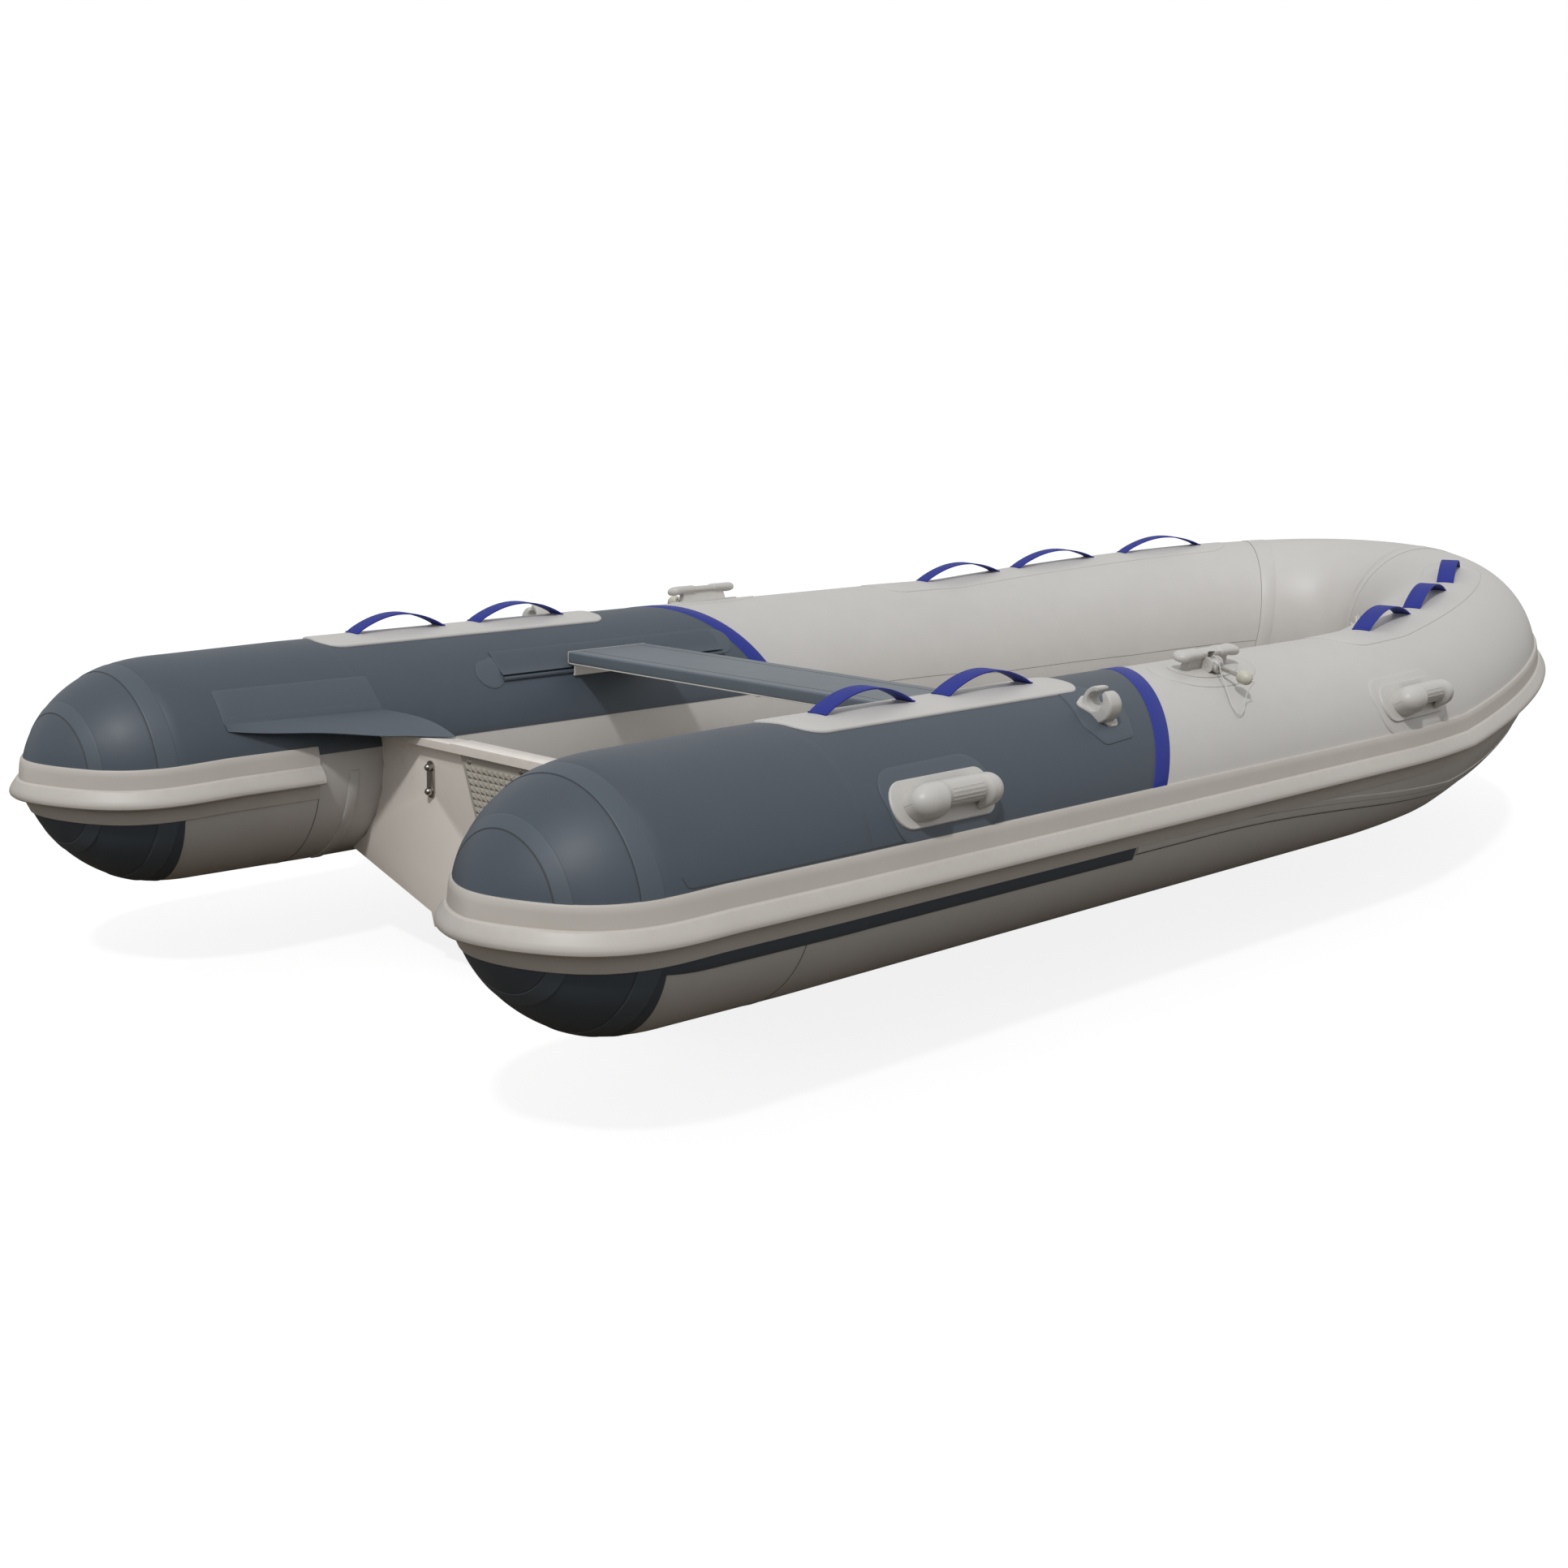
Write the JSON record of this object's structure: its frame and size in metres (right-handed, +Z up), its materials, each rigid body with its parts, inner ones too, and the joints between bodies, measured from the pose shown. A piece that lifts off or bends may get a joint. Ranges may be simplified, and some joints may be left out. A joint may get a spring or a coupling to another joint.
{
  "type": "rigid inflatable boat",
  "caption": "Rigid inflatable boat with moulded vee hull, twin tapered tubes, sliding seat, swinging rowlock pins, webbing straps and a transom for an outboard motor.",
  "frame": {"origin": "middle of the boat's length and width, at the level of the keel", "axes": "+X forward to the bow, +Y to port, +Z up from keel to tubes"},
  "size_m": [3.8773, 1.7658, 0.6936],
  "materials": {
    "light_pvc": "coated fabric, warm light grey, satin",
    "dark_pvc": "coated fabric, dark blue-grey, satin",
    "blue_pvc": "coated fabric, royal blue, satin",
    "webbing": "woven royal-blue webbing",
    "light_rubber": "moulded light-grey strake, satin",
    "gelcoat": "off-white gelcoat",
    "pad_plastic": "beige-grey moulded plastic",
    "white_plastic": "off-white moulded plastic",
    "knob_plastic": "yellowish off-white plastic",
    "valve_plastic": "dark grey moulded plastic",
    "seat_paint": "grey-blue painted plank",
    "cord_white": "white braided cord",
    "steel": "polished stainless steel"
  },
  "bodies": {
    "boat": {"tube_port": "light_pvc", "tube_starboard": "light_pvc", "tube_bow": "light_pvc", "tail_cone_port": "dark_pvc", "tail_cone_starboard": "dark_pvc", "dark_panel_port": "dark_pvc", "dark_panel_starboard": "dark_pvc", "transom_flap_port": "dark_pvc", "transom_flap_starboard": "dark_pvc", "seat_flap_port": "dark_pvc", "seat_flap_starboard": "dark_pvc", "stripe_port": "blue_pvc", "stripe_starboard": "blue_pvc", "handle_patch_port": "light_pvc", "handle_patch_starboard": "light_pvc", "rub_strake": "light_rubber", "hull_shell": "gelcoat", "deck_liner": "gelcoat", "transom": "gelcoat", "motor_pad_aft": "pad_plastic", "motor_pad_inner": "pad_plastic", "towing_eye_port": "steel", "towing_eye_starboard": "steel", "drain_socket": "white_plastic", "rowlock_body_port": "white_plastic", "rowlock_body_starboard": "white_plastic", "lanyard_port": "cord_white", "lanyard_starboard": "cord_white", "oar_clip_port": "white_plastic", "oar_clip_starboard": "white_plastic", "grab_handle_aft_port": "white_plastic", "grab_handle_aft_starboard": "white_plastic", "grab_handle_forward_port": "white_plastic", "grab_handle_forward_starboard": "white_plastic", "strap_aft_1_port": "webbing", "strap_aft_2_port": "webbing", "strap_bow_1_port": "webbing", "strap_bow_2_port": "webbing", "strap_bow_3_port": "webbing", "strap_aft_1_starboard": "webbing", "strap_aft_2_starboard": "webbing", "strap_bow_1_starboard": "webbing", "strap_bow_2_starboard": "webbing", "strap_bow_3_starboard": "webbing", "valve_body_port": "valve_plastic", "valve_body_starboard": "valve_plastic", "valve_body_bow": "valve_plastic"},
    "seat": {"seat_plank": "seat_paint", "seat_hook_port": "white_plastic", "seat_hook_starboard": "white_plastic"},
    "rowlock_arm_port": {"rowlock_barrel_port": "white_plastic", "rowlock_pin_port": "steel"},
    "rowlock_arm_starboard": {"rowlock_barrel_starboard": "white_plastic", "rowlock_pin_starboard": "steel"},
    "knob_port": {"rowlock_knob_port": "knob_plastic"},
    "knob_starboard": {"rowlock_knob_starboard": "knob_plastic"},
    "plug": {"drain_plug": "white_plastic"},
    "valve_cap_port_turn": {"valve_cap_port": "valve_plastic"},
    "valve_cap_starboard_turn": {"valve_cap_starboard": "valve_plastic"},
    "valve_cap_bow_turn": {"valve_cap_bow": "valve_plastic"}
  },
  "joints": [
    {"name": "seat_slide", "type": "slide", "parent": "boat", "child": "seat", "axis": [1, 0, 0], "range_m": [-0.165, 0.215]},
    {"name": "rowlock_swing_port", "type": "hinge", "parent": "boat", "child": "rowlock_arm_port", "pos_m": [-0.189, 0.714, 0.5905], "axis": [1, 0, 0], "range_deg": [0, 103]},
    {"name": "knob_turn_port", "type": "hinge", "parent": "rowlock_arm_port", "child": "knob_port", "pos_m": [-0.189, 0.79098, 0.57273], "axis": [0, 0.9744, -0.225], "continuous": true},
    {"name": "rowlock_swing_starboard", "type": "hinge", "parent": "boat", "child": "rowlock_arm_starboard", "pos_m": [-0.189, -0.714, 0.5905], "axis": [-1, 0, 0], "range_deg": [0, 103]},
    {"name": "knob_turn_starboard", "type": "hinge", "parent": "rowlock_arm_starboard", "child": "knob_starboard", "pos_m": [-0.189, -0.79098, 0.57273], "axis": [0, -0.9744, -0.225], "continuous": true},
    {"name": "drain_plug_turn", "type": "hinge", "parent": "boat", "child": "plug", "pos_m": [-1.2983, 0, 0.123], "axis": [-1, 0, 0], "continuous": true},
    {"name": "valve_cap_turn_port", "type": "hinge", "parent": "boat", "child": "valve_cap_port_turn", "pos_m": [-0.084, 0.4259, 0.40138], "axis": [0, -0.9914, 0.1305], "range_deg": [0, 90]},
    {"name": "valve_cap_turn_starboard", "type": "hinge", "parent": "boat", "child": "valve_cap_starboard_turn", "pos_m": [-0.084, -0.4259, 0.40138], "axis": [0, 0.9914, 0.1305], "range_deg": [0, 90]},
    {"name": "valve_cap_turn_bow", "type": "hinge", "parent": "boat", "child": "valve_cap_bow_turn", "pos_m": [1.40775, -0.11886, 0.48079], "axis": [-0.6445, 0.7532, 0.1314], "range_deg": [0, 90]}
  ]
}
